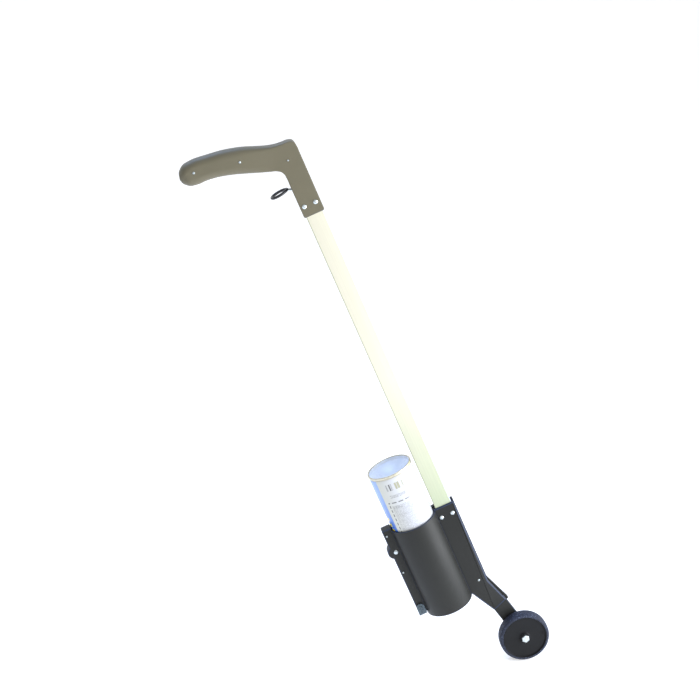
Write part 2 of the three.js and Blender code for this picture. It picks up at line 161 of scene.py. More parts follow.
def inset(loop: np.ndarray, distance: float) -> np.ndarray:
    """Moves a counter-clockwise loop inwards: each point goes along the mitre of its two sides."""
    before = unit(loop - np.roll(loop, 1, 0))
    after = unit(np.roll(loop, -1, 0) - loop)
    left_before = np.stack([-before[:, 1], before[:, 0]], 1)
    left_after = np.stack([-after[:, 1], after[:, 0]], 1)
    lean = 1 + (left_before * left_after).sum(1, keepdims=True)
    return loop + (left_before + left_after) / np.maximum(lean, 0.3) * distance


def spline(points: Sequence, count: int) -> np.ndarray:
    """A smooth curve through points: cubic Hermite spans on chord length, with centred tangents.

    Args:
        points: (n, d) points.
        count: samples, evenly spaced on chord length.

    Returns:
        (count, d) samples.
    """
    knots = np.asarray(points, float)
    chord = np.concatenate([[0], np.cumsum(np.linalg.norm(np.diff(knots, axis=0), axis=1))])
    slope = np.gradient(knots, chord, axis=0)
    at = np.linspace(0, chord[-1], count)
    span = np.clip(np.searchsorted(chord, at, "right") - 1, 0, len(knots) - 2)
    width = (chord[span + 1] - chord[span])[:, None]
    t = (at - chord[span])[:, None] / width
    first = (2 * t**3 - 3 * t**2 + 1) * knots[span] + (t**3 - 2 * t**2 + t) * width * slope[span]
    second = (3 * t**2 - 2 * t**3) * knots[span + 1] + (t**3 - t**2) * width * slope[span + 1]
    return first + second


def smooth(value, low: float, high: float):
    """0 below low, 1 above high, and a smooth cubic step between them."""
    t = np.clip((value - low) / (high - low), 0, 1)
    return t * t * (3 - 2 * t)


def edge_rings(low: float, high: float, low_edge: float, high_edge: float, steps: int = 4) -> np.ndarray:
    """Heights and insets of the rings that round a slab's two rims by quarter circles.

    Returns:
        (rings, 2) array of height and inset, from the low face to the high one.
    """
    angle = np.linspace(0, math.pi / 2, steps)
    foot = np.stack([low + low_edge * (1 - np.cos(angle)), low_edge * (1 - np.sin(angle))], 1)
    head = np.stack([high - high_edge * (1 - np.cos(angle)), high_edge * (1 - np.sin(angle))], 1)[::-1]
    foot = foot if low_edge > 0 else np.array([[low, 0.0]])
    head = head if high_edge > 0 else np.array([[high, 0.0]])
    return np.concatenate([foot, head])


class Surface:
    """The vertices and faces of one piece, gathered from closed grids in the upright frame."""

    def __init__(self) -> None:
        """Starts empty."""
        self.points: list[np.ndarray] = []
        self.faces: list[list[int]] = []
        self.rims: list[np.ndarray] = []
        self.count = 0

    def grid(self, grid: np.ndarray, ring: bool = False, edge: np.ndarray | None = None) -> "Surface":
        """Adds a grid whose columns close on themselves.

        Args:
            grid: (rows, columns, 3) points.
            ring: whether the rows close too; if not, the first and last row are capped.
            edge: for each band between two rows, 1 on a rounded rim and 0 elsewhere, for wear and a painted rim
                highlight.

        Returns:
            This surface.
        """
        rows, columns, _ = grid.shape
        flat = grid.reshape(-1, 3)
        index = np.arange(rows * columns).reshape(rows, columns)
        if ring:
            index = np.vstack([index, index[:1]])
        beside = np.roll(index, -1, 1)
        quads = np.stack([index[:-1], beside[:-1], beside[1:], index[1:]], 2).reshape(-1, 4)
        faces = quads.tolist()
        if not ring:
            faces += [index[0][::-1].tolist(), index[-1].tolist()]
        corner = flat[quads]
        spread = np.cross(corner[:, 2] - corner[:, 0], corner[:, 3] - corner[:, 1]) / 2
        volume = (corner.mean(1) * spread).sum() / 3
        if not ring:
            caps = [(grid[0][::-1]), grid[-1]]
            volume += sum((cap.mean(0) * np.cross(cap, np.roll(cap, -1, 0)).sum(0)).sum() / 6 for cap in caps)
        if volume < 0:
            faces = [face[::-1] for face in faces]
        self.faces += [[corner_id + self.count for corner_id in face] for face in faces]
        self.points.append(flat)
        bands = np.zeros(len(index) - 1) if edge is None else edge
        self.rims.append(np.repeat(bands, columns))
        if not ring:
            self.rims.append(np.zeros(2))
        self.count += len(flat)
        return self

    def plate(self, outline: np.ndarray, near: float, far: float, near_edge: float = 0.6,
              far_edge: float = 0.6) -> "Surface":
        """Carries an x-z outline along y, with each rim rounded by its own radius."""
        rings = edge_rings(near, far, near_edge, far_edge)
        layers = [np.insert(inset(outline, depth), 1, y, axis=1) for y, depth in rings]
        return self.grid(np.stack(layers), edge=(np.diff(rings[:, 1]) != 0).astype(float))

    def column(self, outline: np.ndarray, low: float, high: float, low_edge: float = 0.5,
               high_edge: float = 0.5) -> "Surface":
        """Carries an x-y outline along z, with each rim rounded by its own radius."""
        rings = edge_rings(low, high, low_edge, high_edge)
        layers = [np.insert(inset(outline, depth), 2, z, axis=1) for z, depth in rings]
        return self.grid(np.stack(layers), edge=(np.diff(rings[:, 1]) != 0).astype(float))

    def sleeve(self, outer: np.ndarray, inner: np.ndarray, low: float, high: float) -> "Surface":
        """An open tube along z between two x-y loops of as many points."""
        layers = [np.insert(loop, 2, z, axis=1) for loop, z in
                  ((outer, low), (outer, high), (inner, high), (inner, low))]
        return self.grid(np.stack(layers), ring=True)

    def turned(self, profile: np.ndarray, centre: Spot, axis: str = "z", ring: bool = True,
               sides: int = 96) -> "Surface":
        """Turns a profile of (radius, height) points about an axis: r cos a, r sin a, height."""
        angle = np.linspace(0, TAU, sides, endpoint=False)
        radius, height = profile[:, 0, None], np.repeat(profile[:, 1, None], sides, 1)
        first = centre[0] + radius * np.cos(angle)
        second = centre[1] + radius * np.sin(angle)
        order = [first, second, height] if axis == "z" else [first, height, second]
        return self.grid(np.stack(order, 2), ring=ring)

    def lathe(self, corners: Sequence, radii, steps: int, sides: int) -> "Surface":
        """Turns a rounded outline about the can's axis into a closed ring."""
        return self.turned(rounded(corners, radii, steps), (0, 0), sides=sides)

    def wire(self, path: np.ndarray, radius, side: Sequence[float], ring: bool = False,
             sides: int = 16) -> "Surface":
        """Carries a circle along a flat path: side is the direction square to the path's plane.

        Each circle lies in the plane of side and of side x tangent.
        """
        ahead = unit((np.roll(path, -1, 0) - np.roll(path, 1, 0)) if ring else np.gradient(path, axis=0))
        square = np.broadcast_to(np.asarray(side, float), path.shape)
        beside = np.cross(square, ahead)
        angle = np.linspace(0, TAU, sides, endpoint=False)
        thick = np.broadcast_to(np.asarray(radius, float), len(path))[:, None, None]
        circle = np.cos(angle)[None, :, None] * beside[:, None] + np.sin(angle)[None, :, None] * square[:, None]
        return self.grid(path[:, None] + thick * circle, ring=ring)

    def build(self, name: str, slant: Slant, sharp_deg: float = 32) -> bpy.types.Object:
        """Makes the mesh object, at the origin, with smooth faces and its sharp edges marked.

        Args:
            name: the piece's name.
            slant: where the wand stands.
            sharp_deg: edges that turn more than this stay sharp.

        Returns:
            The object.
        """
        mesh = bpy.data.meshes.new(name)
        mesh.from_pydata(slant.place(np.concatenate(self.points)), [], self.faces)
        mesh.polygons.foreach_set("use_smooth", np.ones(len(mesh.polygons), bool))
        mesh.set_sharp_from_angle(angle=math.radians(sharp_deg))
        rim = mesh.attributes.new("rim", "FLOAT", "FACE")
        rim.data.foreach_set("value", np.concatenate(self.rims).astype(np.float32))
        mesh.update()
        piece = bpy.data.objects.new(name, mesh)
        bpy.context.scene.collection.objects.link(piece)
        return piece


# ---------------------------------------------------------------- shader expressions


class Value:
    """A number output of a node, with arithmetic that adds Math nodes."""

    def __init__(self, graph: "Graph", socket: bpy.types.NodeSocket) -> None:
        """Holds a socket and the graph that it belongs to."""
        self.graph = graph
        self.socket = socket

    def _with(self, operation: str, other, swapped: bool = False) -> "Value":
        """One Math node of this value and another value or number."""
        pair = (other, self) if swapped else (self, other)
        return self.graph.value("ShaderNodeMath", {"operation": operation}, {0: pair[0], 1: pair[1]})

    def _operator(operation: str, swapped: bool = False) -> Callable[["Value", object], "Value"]:
        """The method behind one arithmetic sign; swapped when the value stands on its right."""
        return lambda self, other: self._with(operation, other, swapped)

    __add__, __radd__ = _operator("ADD"), _operator("ADD", True)
    __sub__, __rsub__ = _operator("SUBTRACT"), _operator("SUBTRACT", True)
    __mul__, __rmul__ = _operator("MULTIPLY"), _operator("MULTIPLY", True)
    __mod__ = _operator("FLOORED_MODULO")

    def above(self, other, blur: float = 0.0) -> "Value":
        """1 where this is above other, with a linear edge of blur if it is given."""
        if blur <= 0:
            return self._with("GREATER_THAN", other)
        settings = {"interpolation_type": "LINEAR", "clamp": True}
        inputs = {"Value": self, "From Min": other - blur, "From Max": other + blur}
        return self.graph.value("ShaderNodeMapRange", settings, inputs, "Result")

    def between(self, low: float, high: float, blur: float = 0.0) -> "Value":
        """1 between two numbers."""
        return self.above(low, blur) * (1 - self.above(high, blur))

    def floor(self) -> "Value":
        """The whole number below this."""
        return self._with("FLOOR", 0.0)


class Graph:
    """A material's node tree with one Principled shader."""

    def __init__(self, name: str) -> None:
        """Makes the material."""
        self.material = bpy.data.materials.new(name)
        self.material.use_nodes = True
        self.tree = self.material.node_tree
        self.shader = self.tree.nodes["Principled BSDF"]

    def _plug(self, socket: bpy.types.NodeSocket, given) -> None:
        """Links an output, or sets a constant."""
        if isinstance(given, Value):
            self.tree.links.new(given.socket, socket)
        elif isinstance(given, bpy.types.NodeSocket):
            self.tree.links.new(given, socket)
        else:
            socket.default_value = given

    def node(self, kind: str, settings: dict | None = None, inputs: dict | None = None) -> bpy.types.Node:
        """Adds one node.

        Args:
            kind: the node's type.
            settings: its properties, set first.
            inputs: a value or an output for each named or numbered socket.

        Returns:
            The node.
        """
        node = self.tree.nodes.new(kind)
        for key, setting in (settings or {}).items():
            setattr(node, key, setting)
        for key, given in (inputs or {}).items():
            self._plug(node.inputs[key], given)
        return node

    def value(self, kind: str, settings: dict | None = None, inputs: dict | None = None, output=0) -> Value:
        """Adds a node and returns one of its outputs as a value."""
        return Value(self, self.node(kind, settings, inputs).outputs[output])

    def share(self, value: Value, start: float, end: float) -> Value:
        """0 where a value is at start, 1 at end, and held beyond them."""
        given = {"Value": value, "From Min": start, "From Max": end}
        return self.value("ShaderNodeMapRange", {"clamp": True}, given, "Result")

    def upright(self, slant: Slant) -> bpy.types.NodeSocket:
        """Object coordinates turned back upright, so that z runs up the shaft, in metres."""
        place = self.node("ShaderNodeTexCoord").outputs["Object"]
        turn = {"Vector": place, "Rotation": (0, slant.angle, 0)}
        return self.node("ShaderNodeMapping", {"vector_type": "POINT"}, turn).outputs[0]

    def axis(self, vector: bpy.types.NodeSocket, name: str) -> Value:
        """One part of a vector."""
        return self.value("ShaderNodeSeparateXYZ", None, {0: vector}, name)

    def stretched(self, vector: bpy.types.NodeSocket,
                  scale: tuple[float, float, float]) -> bpy.types.NodeSocket:
        """A vector with each part multiplied."""
        given = {"Vector": vector, "Scale": scale}
        return self.node("ShaderNodeMapping", {"vector_type": "POINT"}, given).outputs[0]

    def noise(self, vector: bpy.types.NodeSocket, scale: float, detail: float = 3, rough: float = 0.5) -> Value:
        """A noise field between 0 and 1."""
        given = {"Vector": vector, "Scale": scale, "Detail": detail, "Roughness": rough}
        return self.value("ShaderNodeTexNoise", {"noise_dimensions": "3D"}, given, "Fac")

    def blend(self, amount, first, second) -> bpy.types.NodeSocket:
        """Mixes two colours, each a triple or an output."""
        node = self.node("ShaderNodeMix", {"data_type": "RGBA"}, {0: amount})
        for socket, colour in ((node.inputs[6], first), (node.inputs[7], second)):
            self._plug(socket, (*colour, 1) if isinstance(colour, tuple) else colour)
        return node.outputs[2]

    def bump(self, height: Value, strength: float, depth: float) -> bpy.types.NodeSocket:
        """A normal bent by a height field, depth in metres."""
        given = {"Height": height, "Strength": strength, "Distance": depth}
        return self.node("ShaderNodeBump", None, given).outputs[0]

    def rim(self) -> Value:
        """How near a point is to a rounded rim, from the piece's own attribute."""
        return self.value("ShaderNodeAttribute", {"attribute_name": "rim"}, None, "Fac")

    def finish(self, **sockets) -> bpy.types.Material:
        """Sets the shader's sockets, named with underscores for spaces, and returns the material."""
        for key, given in sockets.items():
            self._plug(self.shader.inputs[key.replace("_", " ")], given)
        return self.material


# ---------------------------------------------------------------- finishes


class Slot(Enum):
    """The record's material slots."""

    SHAFT = "shaft_aluminium"
    HOLDER = "holder_plastic"
    GRIP = "grip_plastic"
    ZINC = "zinc_steel"
    SLEEVE = "trigger_sleeve"
    LABEL = "can_label"
    TIN = "can_tin"
    ENAMEL = "can_enamel"
    WHITE = "inner_plastic"
    TREAD = "wheel_rubber"
    DISC = "wheel_plastic"
    BUSHING = "bushing_steel"


@dataclass(frozen=True)
class Moulded:
    """Moulded plastic: a soft mottle, a fine spark-eroded grain, and rounded rims tinted towards a second
    colour: scuffed wear, and on the holder, the sleeve and the wheel disc a painted rim highlight.
    """

    name: str
    colour: Colour
    # Rim colour: scuffed wear, and a painted rim highlight where it is lighter than the body colour.
    rim_highlight_and_wear: Colour
    rough: float
    grain: float = 1400.0
    depth: float = 0.00004
    mottle: float = 0.12
    sheen: float = 0.5

    def make(self, slant: Slant) -> bpy.types.Material:
        """Builds the material."""
        graph = Graph(self.name)
        place = graph.upright(slant)
        cloud = graph.noise(place, 22, 4)
        grain = graph.noise(place, self.grain, 2, 0.6)
        scuff = graph.noise(graph.stretched(place, (1, 1, 0.2)), 260, 5, 0.7)
        dark = tuple(part * (1 - self.mottle) for part in self.colour)
        light = tuple(part * (1 + self.mottle) for part in self.colour)
        body = graph.blend(cloud, dark, light)
        # Rounded rims lean to the rim colour, broken up by scuff noise: scuffed wear, and where that colour is
        # lighter, a painted rim highlight.
        rim_highlight_and_wear_share = graph.rim() * (0.35 + 0.5 * scuff)
        colour = graph.blend(rim_highlight_and_wear_share, body, self.rim_highlight_and_wear)
        rough = self.rough + (cloud - 0.5) * 0.12 + (scuff - 0.5) * 0.1
        return graph.finish(Base_Color=colour, Roughness=rough, Specular_IOR_Level=self.sheen,
                            Normal=graph.bump(grain, 0.35, self.depth))


@dataclass(frozen=True)
class DrawnAluminium:
    """Extruded aluminium: lengthwise draw lines, straw above and green below, with painted shade along its left
    edge and a painted blue reflection along its right edge.
    """

    name: str
    above: Colour
    below: Colour
    low: float
    high: float
    # Where the painted edge lines start, and their colours: painted shade on the tube's left edge, a painted
    # blue reflection on its right edge.
    left: float = 0.0583
    right: float = 0.0817
    olive: Colour = (0.42, 0.43, 0.3)
    right_edge_reflection: Colour = (0.55, 0.6, 0.78)

    def make(self, slant: Slant) -> bpy.types.Material:
        """Builds the material."""
        graph = Graph(self.name)
        place = graph.upright(slant)
        height = graph.axis(place, "Z")
        climb = graph.share(height, self.low, self.high)
        lines = graph.noise(graph.stretched(place, (1, 1, 0.006)), 900, 4, 0.65)
        broad = graph.noise(graph.stretched(place, (1, 1, 0.02)), 160, 3, 0.5)
        cast = graph.blend(climb, self.below, self.above)
        across = graph.axis(place, "X")
        streak = (lines - 0.42) * (2.4 - climb)
        colour = graph.blend(streak, cast, graph.blend(0.22, cast, (0.25, 0.27, 0.2)))
        # Painted shade in a dark line along the left edge, and a painted pale blue reflection along the right
        # edge.
        colour = graph.blend(1 - across.above(self.left, 0.0009), colour, self.olive)
        colour = graph.blend(across.above(self.right, 0.0005), colour, self.right_edge_reflection)
        rough = 0.34 + broad * 0.12 + lines * 0.1
        return graph.finish(Base_Color=colour, Metallic=0.55, Roughness=rough,
                            Normal=graph.bump(lines + broad * 0.5, 0.3, 0.00003))


@dataclass(frozen=True)
class Plated:
    """Plated or turned steel: a bright skin with a faint grain and small dull patches."""

    name: str
    colour: Colour
    dull: Colour
    rough: float = 0.28
    grain: float = 2200.0

    def make(self, slant: Slant) -> bpy.types.Material:
        """Builds the material."""
        graph = Graph(self.name)
        place = graph.upright(slant)
        patch = graph.noise(place, 340, 4, 0.6)
        grain = graph.noise(place, self.grain, 2)
        colour = graph.blend(patch.between(0.56, 1.0, 0.08) * 0.5, self.colour, self.dull)
        rough = self.rough + patch * 0.16 + (grain - 0.5) * 0.08
        return graph.finish(Base_Color=colour, Metallic=0.92, Roughness=rough,
                            Normal=graph.bump(grain, 0.2, 0.00002))


@dataclass(frozen=True)
class TreadRubber:
    """The tread ring: black rubber with a fine crazed grain, and blue-tinted patches and specks that stand for
    pale ground dusting and also paint a blue sky sheen on it.
    """

    name: str
    colour: Colour
    # Blue-tinted patch and speck colours: ground dusting mixed with a painted blue sky sheen.
    dust_and_sheen: Colour
    speck: Colour

    def make(self, slant: Slant) -> bpy.types.Material:
        """Builds the material."""
        graph = Graph(self.name)
        place = graph.upright(slant)
        given = {"Vector": place, "Scale": 620}
        cells = graph.value("ShaderNodeTexVoronoi", {"feature": "F1"}, given, "Distance")
        fine = graph.noise(place, 1500, 3, 0.6)
        cloud = graph.noise(place, 60, 4)
        # Patches and specks of the blue-tinted colours: ground dusting and a painted blue sky sheen.
        dust_and_sheen_share = (cells * 0.7 + cloud * 0.6 - 0.45) * 0.9
        colour = graph.blend(dust_and_sheen_share.between(0.0, 2.0, 0.35), self.colour, self.dust_and_sheen)
        grit = graph.noise(place, 700, 2, 0.6)
        colour = graph.blend(grit.above(0.67, 0.03) * cloud.above(0.45, 0.1), colour, self.speck)
        rough = 0.72 + (cloud - 0.5) * 0.2
        return graph.finish(Base_Color=colour, Roughness=rough,
                            Normal=graph.bump(cells * 0.8 + fine * 0.4, 0.8, 0.0003))


@dataclass(frozen=True)
class CanLabel:
    """A printed sleeve: white, with a blue band, bars, grey dashes in place of words, and a dashed box."""

    name: str
    paper: Colour = (0.6, 0.62, 0.68)
    cream: Colour = (0.6, 0.6, 0.52)
    ink: Colour = (0.06, 0.06, 0.065)
    khaki: Colour = (0.32, 0.31, 0.16)
    pale_blue: Colour = (0.27, 0.42, 0.75)
    deep_blue: Colour = (0.04, 0.15, 0.58)
    yellow: Colour = (0.9, 0.72, 0.02)
    tin: Colour = (0.52, 0.48, 0.36)
    print_top: float = 236.1

    def make(self, slant: Slant) -> bpy.types.Material:
        """Builds the material.

        The piece's UV map gives u, millimetres round the can, and v, millimetres up it. Every printed
        mark is a box or a comb of cells in u and v.
        """
        graph = Graph(self.name)
        sheet = graph.node("ShaderNodeUVMap", {"uv_map": "sheet"}).outputs[0]
        u = graph.axis(sheet, "X")
        v = graph.axis(sheet, "Y")

        def box(left: float, right: float, low: float, high: float, blur: float = 0.08) -> Value:
            """1 inside a printed box."""
            return u.between(left, right, blur) * v.between(low, high, blur)

        def cells(wide: float, tall: float, share: float, seed: float) -> Value:
            """Cells filled at random, as many as share says."""
            across = (u * (1 / wide)).floor()
            row = (v * (1 / tall)).floor()
            where = graph.node("ShaderNodeCombineXYZ", None, {0: across, 1: row, 2: seed}).outputs[0]
            given = {"Vector": where}
            chance = graph.value("ShaderNodeTexWhiteNoise", {"noise_dimensions": "3D"}, given, "Value")
            return 1 - chance.above(share)

        def rows(tall: float, gap: float) -> Value:
            """1 on the printed part of each row."""
            return (v % tall).above(gap, 0.05)

        bars = cells(0.55, 400.0, 0.62, 3.0) * box(-16.5, -7.5, 218, 228.4)
        khaki_bars = cells(0.6, 400.0, 0.72, 5.0) * (box(-3.6, 4.2, 218, 228.4) + box(7.4, 10.4, 218, 228))
        words = cells(0.5, 1.5, 0.7, 7.0) * rows(1.5, 0.62)
        heading = box(-16.5, 8, 205.6, 210.8) * words
        block = box(-20, 12, 149, 193.5) * cells(0.36, 1.15, 0.62, 11.0) * rows(1.15, 0.5)
        dark_rows = box(-19, -5, 189, 192.6) + box(-18, -3, 175.5, 178.5)
        right_words = box(16, 40, 152, 232) * cells(0.6, 1.9, 0.5, 9.0) * rows(1.9, 1.0)
        fade = 1 - u.above(16, 16.0)
        dashes = ((u % 10.5).above(3.2, 0.15) * v.between(197.6, 199.2, 0.1) * u.between(-23.6, 37, 0.1) * fade
                  + (v % 7.2).above(2.6, 0.15) * u.between(-23.8, -22.2, 0.1) * v.between(120, 199, 0.1))
        plain = graph.blend(u.above(-14, 16.0), self.cream, self.paper)
        bare = v.above(self.print_top, 0.1)
        plain = graph.blend(bare, plain, self.tin)
        printed = graph.blend((bars + dashes) * 0.85, plain, self.ink)
        printed = graph.blend(khaki_bars * 0.8, printed, self.khaki)
        grey = heading * 0.55 + right_words * 0.15 + block * (0.45 + dark_rows * 0.3)
        printed = graph.blend(grey, printed, self.ink)
        band = u.between(-66, -29.5, 0.15)
        blue = graph.blend(graph.share(v, 215.0, 148.0), self.pale_blue, self.deep_blue)
        printed = graph.blend(band * (1 - bare), printed, blue)
        spots = box(-50, -39.5, 166, 171.5) + box(-50, -39, 156.5, 161.5) + box(-45, -36.5, 149, 152.5)
        printed = graph.blend(spots, printed, self.yellow)
        wear = graph.noise(graph.node("ShaderNodeTexCoord").outputs["Object"], 420, 4, 0.6)
        rough = 0.26 + wear * 0.14
        return graph.finish(Base_Color=printed, Roughness=rough, Coat_Weight=0.35, Coat_Roughness=0.12,
                            Normal=graph.bump(wear, 0.06, 0.00003))


@dataclass(frozen=True)
class Enamelled:
    """Glossy lacquer over steel: pale, a little cloudy, with fine speckle."""

    name: str
    colour: Colour
    shade: Colour
    rough: float = 0.22

    def make(self, slant: Slant) -> bpy.types.Material:
        """Builds the material."""
        graph = Graph(self.name)
        place = graph.upright(slant)
        cloud = graph.noise(place, 70, 4)
        speck = graph.noise(place, 1800, 2)
        colour = graph.blend(cloud, self.colour, self.shade)
        return graph.finish(Base_Color=colour, Roughness=self.rough + cloud * 0.12,
                            Normal=graph.bump(speck, 0.12, 0.00002))


def finishes() -> dict:
    """The finish of each material slot."""
    return {
        Slot.SHAFT: DrawnAluminium("drawn_aluminium", (0.74, 0.71, 0.58), (0.49, 0.55, 0.38), -0.60, -0.38),
        # The holder's blue rim colour is a painted blue rim highlight, mixed with scuffed wear.
        Slot.HOLDER: Moulded("charcoal_moulding", (0.0145, 0.0152, 0.0138), (0.035, 0.055, 0.12), 0.5,
                             sheen=0.36),
        Slot.GRIP: Moulded("olive_moulding", (0.142, 0.128, 0.084), (0.08, 0.078, 0.07), 0.5, mottle=0.06,
                           sheen=0.35),
        Slot.ZINC: Plated("zinc_plate", (0.66, 0.72, 0.74), (0.42, 0.48, 0.52)),
        Slot.SLEEVE: Moulded("dipped_sleeve", (0.012, 0.012, 0.014), (0.03, 0.03, 0.035), 0.4, 700.0),
        Slot.LABEL: CanLabel("printed_sleeve"),
        Slot.TIN: Plated("tinplate", (0.62, 0.58, 0.45), (0.42, 0.4, 0.34), 0.3),
        Slot.ENAMEL: Enamelled("blue_white_lacquer", (0.84, 0.86, 0.92), (0.66, 0.76, 0.9)),
        Slot.WHITE: Enamelled("white_moulding", (0.85, 0.85, 0.83), (0.78, 0.78, 0.75), 0.35),
        # The tread's blue-tinted second and third colours stand for ground dusting and also paint a blue sky
        # sheen.
        Slot.TREAD: TreadRubber("tread_rubber", (0.009, 0.0105, 0.016), (0.02, 0.027, 0.055),
                                (0.25, 0.32, 0.5)),
        # The disc's blue rim colour is a painted blue rim highlight, mixed with scuffed wear.
        Slot.DISC: Moulded("wheel_moulding", (0.0075, 0.008, 0.0095), (0.06, 0.08, 0.14), 0.5, 1100.0,
                           sheen=0.22),
        Slot.BUSHING: Plated("turned_steel", (0.7, 0.7, 0.7), (0.5, 0.5, 0.5), 0.32),
    }


# ---------------------------------------------------------------- the bench: dressing and fixing


class Bench:
    """Gives pieces their finish, their body and the CAD node that they stand for."""

    def __init__(self, slant: Slant) -> None:
        """Makes one material a slot."""
        self.slant = slant
        self.materials = {slot: finish.make(slant) for slot, finish in finishes().items()}

    def fit(self, surface: Surface, name: str, body: str, slot: Slot, *nodes: str,
            sharp_deg: float = 32) -> bpy.types.Object:
        """Builds a surface and fixes it in place of CAD nodes.

        Args:
            surface: the piece's surface.
            name: the piece's name.
            body: the CAD body that it moves with.
            slot: its finish.
            nodes: the CAD nodes that it stands for.
            sharp_deg: edges that turn more than this stay sharp.

        Returns:
            The object.
        """
        piece = surface.build(name, self.slant, sharp_deg)
        piece.data.materials.append(self.materials[slot])
        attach(piece, body)
        if nodes:
            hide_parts(*nodes)
        LOG.info("%s: %d faces on %s", name, len(piece.data.polygons), body)
        return piece

    def row(self, head: "Rivet | Screw", spots: Iterable[Spot], half: float, name: str, node: str) -> None:
        """Fits like heads on the frame at each x and z, numbered from 1 as their CAD nodes are.

        Args:
            head: the rivet or screw.
            spots: their places.
            half: the distance from y = 0 to the wall that they stand on.
            name: the pieces' name before the number.
            node: the CAD nodes' name before the number.
        """
        for number, (x, z) in enumerate(spots, 1):
            self.fit(head.surface(x, z, half), f"{name}_{number}", "frame", Slot.ZINC, f"{node}_{number}")

    def halves(self, part: "Holder | Grip", name: str, slot: Slot, sharp_deg: float = 32) -> None:
        """Fits the near and the far half of a moulding on the frame."""
        for side in Side:
            word = side.name.lower()
            self.fit(part.half(side), f"{name}_{word}", "frame", slot, f"{name}_shell_{word}",
                     sharp_deg=sharp_deg)

    def dress(self, nodes: Iterable[str], slot: Slot, material: bpy.types.Material | None = None) -> None:
        """Gives CAD nodes that stay a better material: their slot's own, or the one given."""
        for name in nodes:
            node = frame["nodes"][name]
            node.data.materials.clear()
            node.data.materials.append(material or self.materials[slot])
            LOG.info("%s: kept, dressed as %s", name, slot.value)


class Side(Enum):
    """The two halves of each moulding: -1 faces the near side, 1 the far side."""

    NEAR = -1
    FAR = 1


def between(side: Side, inner: float, outer: float) -> Spot:
    """The y span from inner to outer on one side, low end first."""
    ends = sorted((side.value * inner, side.value * outer))
    return ends[0], ends[1]


# ---------------------------------------------------------------- the shaft


@dataclass(frozen=True)
class Shaft:
    """The flat aluminium tube."""

    x: float = 50.0
    wide: float = 25.4
    deep: float = 12.7
    wall: float = 1.5
    corner: float = 0.9
    low: float = 26.0
    high: float = 660.0

    def section(self, shrink: float) -> np.ndarray:
        """The tube's rounded section, taken in by shrink."""
        half_x, half_y = self.wide / 2 - shrink, self.deep / 2 - shrink
        corners = [(self.x - half_x, -half_y), (self.x + half_x, -half_y),
                   (self.x + half_x, half_y), (self.x - half_x, half_y)]
        return rounded(corners, max(self.corner - shrink * 0.5, 0.2), 6)

    def build(self, bench: Bench) -> None:
        """Makes the tube."""
        tube = Surface().sleeve(self.section(0), self.section(self.wall), self.low, self.high)
        bench.fit(tube, "shaft", "frame", Slot.SHAFT, "shaft_tube")
        bench.dress(["rod_guide"], Slot.WHITE)


# ---------------------------------------------------------------- fasteners


@dataclass(frozen=True)
class Rivet:
    """A pull rivet: a low dome with the dimple of its broken pin, on both sides."""

    radius: float = 3.1
    rise: float = 1.5
    lift: float = 0.05

    def profile(self, base: float, out: int) -> np.ndarray:
        """(radius, y) points from the dimple over the dome to the wall: y climbs as a cosine of the radius."""
        radius = np.linspace(1.0, self.radius, 9)
        height = 0.45 + (self.rise - 0.45) * np.cos((radius / self.radius) ** 1.6 * math.pi / 2)
        dome = np.stack([radius, base + out * height], 1)
        middle = np.array([[0.25, base + out * (self.rise - 0.55)], [0.8, base + out * (self.rise - 0.5)]])
        skirt = np.array([[self.radius, base + out * self.lift], [0.25, base + out * self.lift]])
        return np.concatenate([middle, dome, skirt])

    def surface(self, x: float, z: float, half: float) -> Surface:
        """Both heads of a rivet through walls at -half and half."""
        rivet = Surface()
        for out in (-1, 1):
            rivet.turned(self.profile(out * half, out), (x, z), "y", ring=False, sides=40)
        return rivet


@dataclass(frozen=True)
class Screw:
    """A small pan-head screw with a recess, proud of the near face."""

    radius: float = 1.7
    rise: float = 0.8

    def surface(self, x: float, z: float, half: float) -> Surface:
        """The head: a flat-topped dome with a shallow six-sided recess."""
        base = -half
        radius = np.linspace(0.55, 1, 7) * self.radius
        crown = base - self.rise * np.cos((radius / self.radius) ** 3 * math.pi / 2) - 0.12
        recess = [[0.2, base - 0.35], [0.45 * self.radius, base - 0.35]]
        skirt = [[self.radius, base + 0.3], [0.2, base + 0.3]]
        head = np.concatenate([recess, np.stack([radius, crown], 1), skirt])
        return Surface().turned(head, (x, z), "y", ring=False, sides=30)


# ---------------------------------------------------------------- the holder


@dataclass(frozen=True)
class LegSide:
    """The web and the leg on one side: their front edge, top, bend height and lower front corner."""

    front: float
    top: float
    low: float
    bend: Spot


